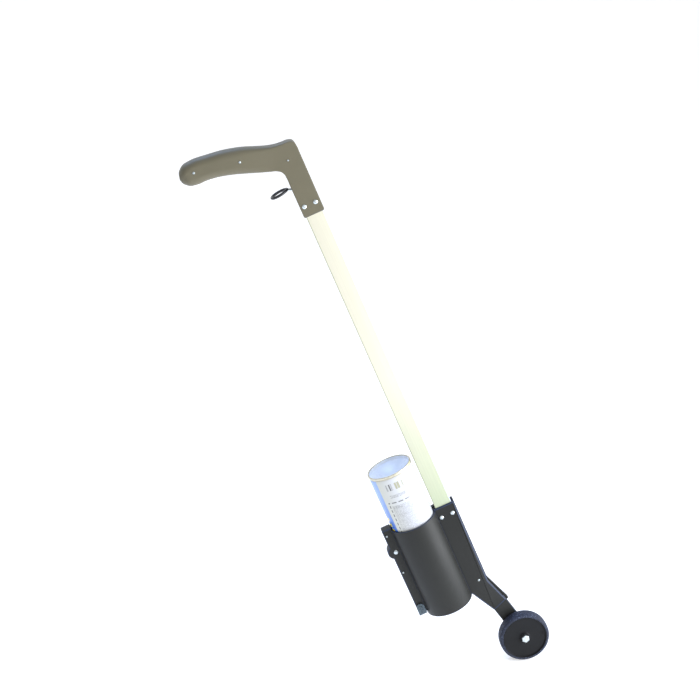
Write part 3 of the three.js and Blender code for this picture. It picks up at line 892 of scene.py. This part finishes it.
@dataclass(frozen=True)
class Holder:
    """The moulded holder: barrel, rear flange with its lobe, web round the shaft, leg and tongue."""

    outer: float = 36.0
    bore: float = 33.9
    top: float = 150.0
    ledge_radius: float = 28.0
    ledge_low: float = 26.0
    ledge_high: float = 30.0
    flange_rear: float = -48.4
    flange_half: float = 8.8
    flange_low: float = 8.5
    flange_top: float = 154.0
    flange_edge: float = 1.3
    lobe_x: float = -43.0
    lobe_z: float = 115.3
    lobe_radius: float = 10.5
    lobe_rivet: Spot = (-41.5, 115.3)
    lobe_rivet_radius: float = 3.3
    web_half: float = 8.8
    web_edge: float = 2.1
    pocket_half: float = 6.65
    pocket_rear: float = 37.0
    pocket_front: float = 63.0
    core_top: float = 21.0
    heel: Spot = (56.4, -38.8)
    legs: dict = field(default_factory=lambda: {
        Side.NEAR: LegSide(65.4, 152.8, 11.0, (79.2, -30.0)),
        Side.FAR: LegSide(66.5, 154.6, 12.9, (84.2, -33.5))})
    tongue_half: float = 12.2
    tongue_root: float = 8.0
    tongue_depth: dict = field(default_factory=lambda: {Side.NEAR: 4.0, Side.FAR: 5.0})
    wheel: Spot = (81.6, -93.0)
    holder_rivets: tuple = ((40.1, 136.5), (57.4, 136.5))
    flange_screws: tuple = ((-44.3, 144.3), (-44.3, 80.3))
    leg_screw: Spot = (53.3, 18.4)

    def half_ring(self, side: Side, inner: float, outer: float, count: int = 90) -> np.ndarray:
        """Half an annulus in x and y: the outer arc there, the inner arc back, clear of the seam."""
        loops = []
        for radius, way in ((outer, 1), (inner, -1)):
            clear = SEAM / radius
            angle = np.linspace(clear, math.pi - clear, count)[::way]
            loops.append(radius * np.stack([np.cos(angle), side.value * np.sin(angle)], 1))
        loop = np.concatenate(loops)
        return loop if side is Side.FAR else loop[::-1]

    def flange_outline(self) -> np.ndarray:
        """The rear flange in x and z, with the lobe's arc standing out of its rear edge."""
        reach = self.lobe_x - self.flange_rear
        open_angle = math.acos(-reach / self.lobe_radius)
        angle = np.linspace(open_angle, TAU - open_angle, 25)
        arc = np.stack([self.lobe_x + self.lobe_radius * np.cos(angle),
                        self.lobe_z + self.lobe_radius * np.sin(angle)], 1)
        front = -self.bore
        corners = [(self.flange_rear, self.flange_low), (front, self.flange_low), (front, self.flange_top),
                   (self.flange_rear + 1.0, self.flange_top), (self.flange_rear, self.flange_top - 1.0)]
        return np.concatenate([corners, arc])

    def leg_outline(self, side: Side, top: float) -> np.ndarray:
        """The web and the slanted leg in x and z, cut off at a height."""
        leg = self.legs[side]
        corners = [(33.2, 3.0), (36.2, 0.6), self.heel, leg.bend, (leg.front, leg.low), (leg.front, top),
                   (33.2, top)]
        return rounded(corners, [0.0, 3.0, 1.6, 1.6, 4.0, 1.0 if top == leg.top else 0.0, 0.0])

    def tongue_outline(self) -> np.ndarray:
        """The flat tongue in x and z: straight sides from inside the leg, and a half circle about the axle."""
        mid = (np.array(self.heel) + np.array(self.legs[Side.NEAR].bend)) / 2
        axle = np.array(self.wheel)
        along = unit(axle - mid)
        across = np.array([-along[1], along[0]]) * self.tongue_half
        root = mid - along * self.tongue_root
        turn = np.linspace(-math.pi / 2, math.pi / 2, 28)[:, None]
        end = axle + self.tongue_half * (np.cos(turn) * along + np.sin(turn) * across / self.tongue_half)
        return np.concatenate([[root - across], end, [root + across]])

    def half(self, side: Side) -> Surface:
        """One moulded half, as closed solids that meet flush."""
        piece = Surface()
        leg = self.legs[side]

        def edges(radius: float) -> Spot:
            """The rounding of the low and the high y edge: only the outer one is rounded."""
            return (radius, 0.0) if side is Side.NEAR else (0.0, radius)

        piece.column(self.half_ring(side, self.bore, self.outer), 0, self.top, 0.8, 0.7)
        piece.column(self.half_ring(side, self.ledge_radius, self.bore + 0.2), self.ledge_low, self.ledge_high)
        piece.plate(self.flange_outline(), *between(side, SEAM, self.flange_half), *edges(self.flange_edge))
        piece.plate(self.leg_outline(side, leg.top), *between(side, self.pocket_half, self.web_half),
                    *edges(self.web_edge))
        for rear, front in ((33.6, self.pocket_rear), (self.pocket_front, leg.front)):
            low, high = between(side, SEAM, self.pocket_half)
            wall = np.array([(rear, low), (front, low), (front, high), (rear, high)])
            piece.column(wall, self.core_top - 1, leg.top, 0, 0.3)
        piece.plate(self.leg_outline(side, self.core_top), *between(side, SEAM, self.pocket_half), 0, 0)
        piece.plate(self.tongue_outline(), *between(side, SEAM, self.tongue_depth[side]), *edges(0.7))
        return piece

    def build(self, bench: Bench) -> None:
        """Makes both halves and what fastens them."""
        bench.halves(self, "holder", Slot.HOLDER)
        bench.row(Rivet(), self.holder_rivets, self.web_half, "web_rivet", "holder_rivet")
        lobe = Rivet(self.lobe_rivet_radius).surface(*self.lobe_rivet, self.flange_half)
        bench.fit(lobe, "rivet_in_lobe", "frame", Slot.ZINC, "lobe_rivet")
        bench.row(Screw(1.55), self.flange_screws, self.flange_half, "small_screw", "flange_screw")
        leg = Screw(1.9).surface(*self.leg_screw, self.web_half)
        bench.fit(leg, "screw_in_leg", "frame", Slot.ZINC, "leg_screw_1")


# ---------------------------------------------------------------- the grip


@dataclass(frozen=True)
class Grip:
    """The pistol grip: a flat head round the shaft that swells into the hand's grip."""

    front: tuple = (
        (64.8, 629), (64.8, 650), (64.8, 675), (64.8, 700), (64.8, 716), (64.6, 725.2), (62.8, 731.2),
        (57.6, 734.0), (47, 735.0), (37, 736.4), (27, 739.2), (14, 744.2), (-4, 751.4), (-26, 757.4),
        (-52, 761.2), (-74, 763.0), (-87, 760.8), (-94.4, 754.5), (-97, 746.2))
    rear: tuple = (
        (34.6, 629), (34.6, 650), (34.6, 672), (34.6, 688), (34.0, 694.6), (31.4, 700.0), (26.4, 703.6),
        (18, 706.4), (8, 709.6), (-8, 715.2), (-28, 722.2), (-48, 727.6), (-64, 729.8), (-78, 730.0),
        (-89, 732.8), (-95.2, 738.6), (-97, 745.2))
    anchors: tuple = ((0.0, 0.0), (0.335, 0.335), (0.465, 0.41), (0.60, 0.52), (0.80, 0.75), (1.0, 1.0))
    head_half: float = 11.0
    grip_half: float = 13.5
    stations: int = 250
    foot_stations: int = 8
    foot_round: float = 2.4
    tail_start: float = 84.0
    tail_long: float = 13.2
    slot_low: float = 667.5
    slot_high: float = 683.5
    slot_half: float = 3.2
    rivets: tuple = ((40.7, 644.2), (57.4, 644.2))
    head_screw: Spot = (46.0, 711.4)
    grip_screws: tuple = ((-14.0, 736.0), (-76.0, 748.0))

    def rails(self) -> tuple[np.ndarray, np.ndarray]:
        """The front and rear edges, sampled so that equal rows face each other across the grip."""
        dense = 3000
        share = np.linspace(0, 1, self.stations)
        foot = self.foot_stations
        share[:foot + 1] = share[foot] * (np.arange(foot + 1) / foot) ** 2
        turn = np.array(self.anchors)
        step = np.linspace(0, 1, len(turn))
        rails = []
        for column, points in enumerate((self.front, self.rear)):
            curve = spline(points, dense)
            at = np.interp(share, step, turn[:, column])
            rails.append(curve[np.clip((at * (dense - 1)).astype(int), 0, dense - 1)])
        return rails[0], rails[1]

    def half(self, side: Side) -> Surface:
        """One moulded half: at each station a half of a rounded rectangle spans the two rails.

        The rectangle's half width is half the rung between the rails, its half depth swells from the head
        to the hand, and its corner radius grows with it. Both shrink by quarter circles at the two ends.
        """
        front, rear = self.rails()
        middle = (front + rear) / 2
        wide = np.linalg.norm(front - rear, axis=1) / 2
        across = unit(front - rear)
        swell = smooth(-middle[:, 0], -34.0, 18.0)
        deep = self.head_half + (self.grip_half - self.head_half) * swell
        corner = 1.0 + 9.5 * smooth(-middle[:, 0], -50.0, 22.0)
        foot = np.clip((middle[:, 1] - self.front[0][1]) / self.foot_round, 0, 1)
        shrink = 1 - np.sqrt(1 - (1 - foot) ** 2)
        wide = wide - self.foot_round * shrink
        tail = np.clip((-middle[:, 0] - self.tail_start) / self.tail_long, 0, 1)
        deep = (deep - 0.9 * shrink) * np.sqrt(1 - 0.8 * tail**2)
        corner = np.minimum(corner, np.minimum(wide, deep) * 0.96)
        slot = (rear[:, 1] > self.slot_low) & (rear[:, 1] < self.slot_high) & (rear[:, 0] > 30)
        rear_gap = np.where(slot, self.slot_half, SEAM)
        turn = np.linspace(0, math.pi / 2, 9)
        out_x = (wide - corner)[:, None] + corner[:, None] * np.cos(turn)
        out_y = (deep - corner)[:, None] + corner[:, None] * np.sin(turn)
        face = np.linspace(1, -1, 9)[None, 1:-1] * (wide - corner)[:, None]
        along = np.concatenate([wide[:, None], out_x, face, -out_x[:, ::-1], -wide[:, None]], 1)
        depth = np.concatenate([np.full((len(wide), 1), SEAM), out_y, np.repeat(deep[:, None], 7, 1),
                                out_y[:, ::-1], rear_gap[:, None]], 1)
        flat = middle[:, None, :] + along[:, :, None] * across[:, None, :]
        grid = np.stack([flat[..., 0], side.value * depth, flat[..., 1]], 2)
        return Surface().grid(grid, edge=(shrink[1:] > 0).astype(float))

    def build(self, bench: Bench) -> None:
        """Makes both halves, the rivets and the screws."""
        bench.halves(self, "grip", Slot.GRIP, 50)
        bench.row(Rivet(), self.rivets, self.head_half, "head_rivet", "grip_rivet")
        head = Screw(1.3).surface(*self.head_screw, self.head_half)
        bench.fit(head, "screw_in_head", "frame", Slot.ZINC, "head_screw_1")
        bench.row(Screw(), self.grip_screws, self.grip_half, "screw_in_grip", "grip_screw")


# ---------------------------------------------------------------- the trigger and the lever


@dataclass(frozen=True)
class Trigger:
    """The finger loop, its bright wire neck, and the rod inside the shaft."""

    middle: float = 17.2
    reach: float = 11.8
    half: float = 12.6
    height: float = 672.4
    rise: float = 0.115
    slot: float = 670.8
    sleeve: float = 1.95
    wire: float = 1.4
    rod_x: float = 48.0
    coupler: float = 648.5

    def loop(self) -> Surface:
        """The sleeved loop: an ellipse pinched a little to the neck, y = half sin a sin(a / 2) ** 0.2."""
        angle = np.linspace(0, TAU, 96, endpoint=False) + 0.12
        pinch = np.abs(np.sin(angle / 2)) ** 0.2
        path = np.stack([self.middle + self.reach * np.cos(angle), self.half * np.sin(angle) * pinch,
                         self.height + self.rise * self.reach * np.cos(angle)], 1)
        return Surface().wire(path, self.sleeve, unit(np.array([-self.rise, 0, 1])), ring=True, sides=20)

    def neck(self) -> Surface:
        """Two wires side by side from the loop into the slot, and the bend down to the coupler."""
        start = self.middle + self.reach - 0.6
        surface = Surface()
        for way in (-1, 1):
            route = [(start, way * 2.6, self.slot + 2.6), (start + 3, way * 1.9, self.slot + 1.2),
                     (start + 7, way * 1.6, self.slot), (self.rod_x - 3, way * 1.6, self.slot)]
            surface.wire(spline(route, 24), self.wire, (0, 0, 1))
        drop = spline([(self.rod_x - 3.5, 0, self.slot), (self.rod_x, 0, self.slot - 3.5),
                       (self.rod_x, 0, self.coupler)], 30)
        return surface.wire(drop, 1.9, (0, 1, 0))

    def build(self, bench: Bench) -> None:
        """Makes the loop and the neck, and dresses the rod."""
        bench.fit(self.loop(), "finger_loop", "trigger", Slot.SLEEVE, "trigger_loop")
        bench.fit(self.neck(), "bright_neck", "trigger", Slot.ZINC, "trigger_wire")
        bench.dress(["pull_rod", "rod_adjuster_nut"], Slot.ZINC)
        bench.dress(["rod_coupler"], Slot.BUSHING)


@dataclass(frozen=True)
class Lever:
    """The pressed lever under the can and its pivot."""

    pin_x: float = -42.5
    pin_z: float = 17.1
    ear_outer: float = 10.7

    def build(self, bench: Bench) -> None:
        """Dresses the lever and makes its pin."""
        finish = Plated("galvanised_strip", (0.13, 0.165, 0.19), (0.02, 0.024, 0.028), 0.5, 900.0)
        strip = finish.make(bench.slant)
        bench.dress(["actuator_lever"], Slot.ZINC, strip)
        pin = Rivet(radius=2.6, rise=1.1).surface(self.pin_x, self.pin_z, self.ear_outer)
        bench.fit(pin, "pivot_pin", "frame", Slot.ZINC, "lever_pivot_pin").data.materials[0] = strip


# ---------------------------------------------------------------- the can


@dataclass(frozen=True)
class Can:
    """The marking can, standing on its dome with its base up."""

    radius: float = 33.0
    seam_radius: float = 33.5
    wall: float = 0.6
    low: float = 43.0
    high: float = 237.2
    top: float = 241.0
    neck: float = 16.0
    dome: float = 18.0

    def body(self) -> Surface:
        """The printed wall, necked in a little under the base seam."""
        corners = [(self.radius - self.wall, self.low), (self.radius, self.low), (self.radius, self.high - 3),
                   (self.radius - 0.5, self.high), (self.radius - 0.5 - self.wall, self.high),
                   (self.radius - self.wall, self.high - 3)]
        return Surface().lathe(corners, 0.25, 3, 160)

    def wrap(self, piece: bpy.types.Object, slant: Slant) -> None:
        """Unrolls the wall: u is the arc from the middle of the near side, v the height, in millimetres."""
        mesh = piece.data
        count = len(mesh.vertices)
        place = np.empty(count * 3)
        mesh.vertices.foreach_get("co", place)
        place = place.reshape(-1, 3) / MM
        cos, sin = math.cos(slant.angle), math.sin(slant.angle)
        x = place[:, 0] * cos + place[:, 2] * sin + slant.hand_x
        z = -place[:, 0] * sin + place[:, 2] * cos + slant.hand_z
        around = np.arctan2(x, -place[:, 1]) * self.radius
        corner = np.empty(len(mesh.loops), int)
        mesh.loops.foreach_get("vertex_index", corner)
        sheet = np.stack([around[corner], z[corner]], 1)
        mesh.uv_layers.new(name="sheet").data.foreach_set("uv", sheet.astype(np.float32).ravel())

    def seam(self) -> Surface:
        """The double seam round the base: a rolled bead."""
        corners = [(31.4, self.top - 4.2), (32.5, self.top - 4.2), (self.seam_radius, self.top - 3.2),
                   (self.seam_radius, self.top), (31.4, self.top)]
        return Surface().lathe(corners, [0.2, 0.3, 0.5, 0.8, 0.8], 6, 160)

    def base(self) -> Surface:
        """The dished base: height falls with the square of the distance from the collar, to the middle."""
        radius = np.linspace(0.4, 28.6, 30)
        dish = self.top - 15 + 10 * (radius / 28.6) ** 2
        over = np.stack([radius, dish], 1)
        collar = rounded([(28.6, self.top - 5), (29.6, self.top - 5.6), (31.0, self.top - 1.2),
                          (31.5, self.top - 1.2), (31.5, self.top - 6.6), (28.6, self.top - 6.2)],
                         [0.3, 0.9, 0.2, 0.2, 0.4, 0.3], 5, closed=False)
        under = np.stack([radius, dish - 1], 1)[::-1]
        return Surface().turned(np.concatenate([over, collar, under]), (0, 0), ring=False, sides=128)

    def shoulder(self) -> Surface:
        """The dome: a quarter ellipse from the wall in to the valve cup, with its seam."""
        angle = np.linspace(0, math.pi / 2, 22)
        outside = np.stack([self.neck + (self.radius - self.neck) * np.cos(angle),
                            self.low - self.dome * np.sin(angle)], 1)[::-1]
        inside = np.stack([self.neck - 0.8 + (self.radius - self.neck) * np.cos(angle),
                           self.low - (self.dome - 0.8) * np.sin(angle)], 1)
        bead = rounded([(self.seam_radius, self.low), (self.seam_radius, self.low + 3), (31.6, self.low + 3)],
                       [0.6, 0.6, 0.6], 5, closed=False)
        return Surface().turned(np.concatenate([outside, bead, inside]), (0, 0), sides=128)

    def cup(self) -> Surface:
        """The valve cup: a curled rim, a flat floor and the pedestal round the stem."""
        foot = self.low - self.dome
        corners = [(2.5, foot - 7), (6.4, foot - 7), (6.8, foot - 1.6), (12.4, foot - 1.6), (13.2, foot - 3.4),
                   (15.8, foot - 3.4), (15.8, foot - 0.3), (2.5, foot - 0.3)]
        return Surface().lathe(corners, [0.3, 1.4, 1.0, 0.6, 1.2, 1.2, 0.3, 0.1], 6, 80)

    def tip(self) -> Surface:
        """The spray tip: a flared shoulder over the lever's hole, with its outlet below."""
        corners = [(0.6, 3.7), (1.7, 3.7), (1.9, 6.9), (5.5, 6.9), (5.4, 9.9), (3.4, 11.1), (3.3, 14.5),
                   (0.6, 14.5)]
        return Surface().lathe(corners, [0.1, 0.3, 0.2, 0.5, 1.2, 0.8, 0.4, 0.1], 5, 48)

    def build(self, bench: Bench) -> None:
        """Makes the can and its valve."""
        self.wrap(bench.fit(self.body(), "can_wall", "can", Slot.LABEL, "can_body"), bench.slant)
        bench.fit(self.seam(), "base_seam", "can", Slot.TIN, "can_base_seam")
        bench.fit(self.base(), "base_dish", "can", Slot.ENAMEL, "can_base")
        bench.fit(self.shoulder(), "dome", "can", Slot.TIN, "can_dome")
        bench.fit(self.cup(), "cup", "can", Slot.TIN, "valve_cup")
        bench.fit(self.tip(), "tip", "nozzle", Slot.WHITE, "spray_tip")
        bench.dress(["valve_stem", "valve_housing"], Slot.WHITE)


# ---------------------------------------------------------------- the wheel


@dataclass(frozen=True)
class Wheel:
    """The guide wheel, its bushing, and the bolt that it turns on."""

    x: float = 81.6
    z: float = -93.0
    y: float = -15.5
    radius: float = 38.0
    half: float = 10.0
    shoulder: float = 4.2
    face_radius: float = 33.2
    hub: float = 8.0
    hub_near: float = -25.9
    hub_far: float = -6.1
    face: float = -23.6
    web: float = -12.5
    bolt: float = 3.175
    head: float = 6.1
    head_deep: float = 3.6
    mark: Spot = (26.5, -5.0)

    def tread(self) -> Surface:
        """The tread ring: a low crown between two round shoulders."""
        near, far = self.y - self.half, self.y + self.half
        corners = [(self.face_radius, near), (self.radius - 0.5, near), (self.radius, self.y),
                   (self.radius - 0.5, far), (self.face_radius, far)]
        profile = rounded(corners, [0.3, self.shoulder, 60.0, self.shoulder, 0.3], 9)
        return Surface().turned(profile, (self.x, self.z), "y", sides=160)

    def disc(self) -> Surface:
        """The moulded disc: a sunk face with a gate mark, a low rim, and a tapered hub."""
        near, far = self.y - self.half, self.y + self.half
        rim = self.face_radius - 0.25
        corners = [(5.2, self.hub_near), (self.hub - 1.0, self.hub_near), (self.hub + 0.6, self.face),
                   (31.2, self.face), (31.9, near + 0.15), (rim, near + 0.15), (rim, far - 0.1),
                   (29.0, far - 0.1), (27.5, self.web), (self.hub + 2, self.web), (self.hub, self.hub_far), (5.2, self.hub_far)]
        radii = [0.3, 0.9, 0.8, 0.4, 0.4, 0.4, 0.4, 0.6, 1.2, 1.2, 0.6, 0.3]
        disc = Surface().turned(rounded(corners, radii, 5), (self.x, self.z), "y", sides=144)
        low, high = self.face + 0.2, self.face - 0.35
        mark = rounded([(1.1, low), (1.1, high), (2.0, high), (2.0, low)], 0.2, 3)
        return disc.turned(mark, (self.x + self.mark[0], self.z + self.mark[1]), "y", sides=32)

    def hexagon(self) -> np.ndarray:
        """A six-sided outline about the axle, with eased corners."""
        angle = np.linspace(0, TAU, 6, endpoint=False) + 0.3
        corners = np.stack([self.x + self.head * np.cos(angle), self.z + self.head * np.sin(angle)], 1)
        return rounded(corners, 0.8, 4)

    def ring(self, inner: float, outer: float, near: float, far: float) -> Surface:
        """A washer or bush about the axle."""
        corners = [(inner, near), (outer, near), (outer, far), (inner, far)]
        return Surface().turned(rounded(corners, 0.2, 3), (self.x, self.z), "y", sides=72)

    def axle(self) -> Surface:
        """The bolt: an eased hexagon head and its shank."""
        face = self.hub_near - 0.3
        bolt = Surface().plate(self.hexagon(), face - self.head_deep, face, 1.0, 0.2)
        shank = np.array([(0.3, face - 0.1), (self.bolt, face - 0.1), (self.bolt, 12.2),
                          (self.bolt - 0.8, 13.0), (0.3, 13.0)])
        return bolt.turned(shank, (self.x, self.z), "y", ring=False, sides=40)

    def nut(self) -> Surface:
        """The nut: an eased hexagon."""
        return Surface().plate(self.hexagon(), 6.8, 11.8, 0.5, 0.8)

    def build(self, bench: Bench) -> None:
        """Makes the wheel and the axle's parts."""
        bench.fit(self.tread(), "tread_ring", "wheel", Slot.TREAD, "wheel_tyre")
        bench.fit(self.disc(), "disc", "wheel", Slot.DISC, "wheel_disc")
        bush = self.ring(3.5, 5.0, self.hub_near + 0.1, self.hub_far - 0.1)
        bench.fit(bush, "bush", "wheel", Slot.BUSHING, "wheel_bushing")
        bench.fit(self.axle(), "hex_bolt", "frame", Slot.ZINC, "axle_bolt", sharp_deg=40)
        bench.fit(self.nut(), "hex_nut", "frame", Slot.ZINC, "axle_nut", sharp_deg=40)
        bench.fit(self.ring(3.5, 7.5, -5.5, -4.3), "spacer", "frame", Slot.ZINC, "axle_spacer")
        bench.fit(self.ring(3.5, 7.5, 5.3, 6.5), "washer", "frame", Slot.ZINC, "axle_washer")


# ---------------------------------------------------------------- the studio


@dataclass(frozen=True)
class Studio:
    """Camera, pale floor and soft light."""

    azimuth_deg: float = -7.2
    elevation_deg: float = 16.9
    distance: float = 2.151
    lens: float = 77.63
    target: tuple[float, float, float] = (17.9, 23.7, 419.3)
    floor_drop: float = 0.0012

    def camera(self, slant: Slant) -> None:
        """Stands the camera at its bearing from the target, level and looking at it."""
        aim = np.array(slant.spot(*self.target))
        azimuth, elevation = math.radians(self.azimuth_deg), math.radians(self.elevation_deg)
        back = np.array([math.sin(azimuth) * math.cos(elevation), -math.cos(azimuth) * math.cos(elevation),
                         math.sin(elevation)])
        data = bpy.data.cameras.new("camera")
        data.lens = self.lens
        data.sensor_width = 36
        camera = bpy.data.objects.new("camera", data)
        camera.location = tuple(aim + back * self.distance)
        camera.rotation_euler = (math.pi / 2 - elevation, 0, azimuth)
        bpy.context.scene.collection.objects.link(camera)
        bpy.context.scene.camera = camera

    def floor(self) -> None:
        """A wide pale floor that curves up behind, as one profile carried along x."""
        low = CAD_BOX[0][2] - self.floor_drop
        profile = rounded([(-6, low), (7, low), (7, low + 8)], [0, 3.5, 0], 24, closed=False)
        across = np.array([-9.0, 9.0])
        grid = np.stack(np.broadcast_arrays(across[:, None], profile[None, :, 0], profile[None, :, 1]), 2)
        count = len(profile)
        index = np.arange(count - 1)
        faces = np.stack([index, index + count, index + count + 1, index + 1], 1)
        mesh = bpy.data.meshes.new("floor")
        mesh.from_pydata(grid.reshape(-1, 3), [], faces.tolist())
        mesh.polygons.foreach_set("use_smooth", np.ones(len(mesh.polygons), bool))
        floor = bpy.data.objects.new("floor", mesh)
        bpy.context.scene.collection.objects.link(floor)
        graph = Graph("pale_floor")
        cloud = graph.noise(graph.node("ShaderNodeTexCoord").outputs["Object"], 3.0)
        mesh.materials.append(graph.finish(Base_Color=graph.blend(cloud, (0.9, 0.9, 0.9), (0.94, 0.94, 0.94)),
                                           Roughness=0.8, Emission_Color=(1, 1, 1, 1), Emission_Strength=0.45))

    def lamp(self, name: str, place: tuple, size: float, power: float, colour: tuple) -> None:
        """One square soft light, turned to the wand."""
        data = bpy.data.lights.new(name, "AREA")
        data.size = size
        data.energy = power
        data.color = colour
        lamp = bpy.data.objects.new(name, data)
        lamp.location = place
        middle = np.array([0.1, 0, -0.4])
        away = np.array(place) - middle
        lamp.rotation_euler = (math.atan2(math.hypot(away[0], away[1]), away[2]), 0,
                               math.atan2(away[0], -away[1]))
        bpy.context.scene.collection.objects.link(lamp)

    def light(self) -> None:
        """A pale sky, a low strong key on the right, a soft front lamp and a cool one from above and behind."""
        scene = bpy.context.scene
        world = bpy.data.worlds.new("sky")
        world.use_nodes = True
        world.node_tree.nodes["Background"].inputs["Color"].default_value = (0.95, 0.97, 1.0, 1)
        world.node_tree.nodes["Background"].inputs["Strength"].default_value = 0.45
        scene.world = world
        scene.view_settings.view_transform = "Standard"
        self.lamp("key", (2.1, -0.8, -0.05), 1.8, 76, (0.93, 0.96, 1.0))
        self.lamp("front", (0.5, -2.3, 1.0), 1.4, 12, (1.0, 0.99, 0.93))
        self.lamp("top", (-0.7, 0.9, 2.0), 1.5, 48, (0.42, 0.6, 1.0))

    def build(self, slant: Slant) -> None:
        """Sets the whole studio."""
        self.camera(slant)
        self.floor()
        self.light()


def main() -> None:
    """Builds the studio and every sub-assembly of the wand, in order."""
    logging.basicConfig(level=logging.INFO, format="%(name)s %(message)s")
    wheel = Wheel()
    slant = Slant.of_frame(frame["joints"], wheel.x, wheel.z)
    Studio().build(slant)
    bench = Bench(slant)
    for part in (Shaft(), Holder(), Grip(), Trigger(), Lever(), Can(), wheel):
        LOG.info("building %s", type(part).__name__)
        part.build(bench)


if __name__ == "__main__":
    main()
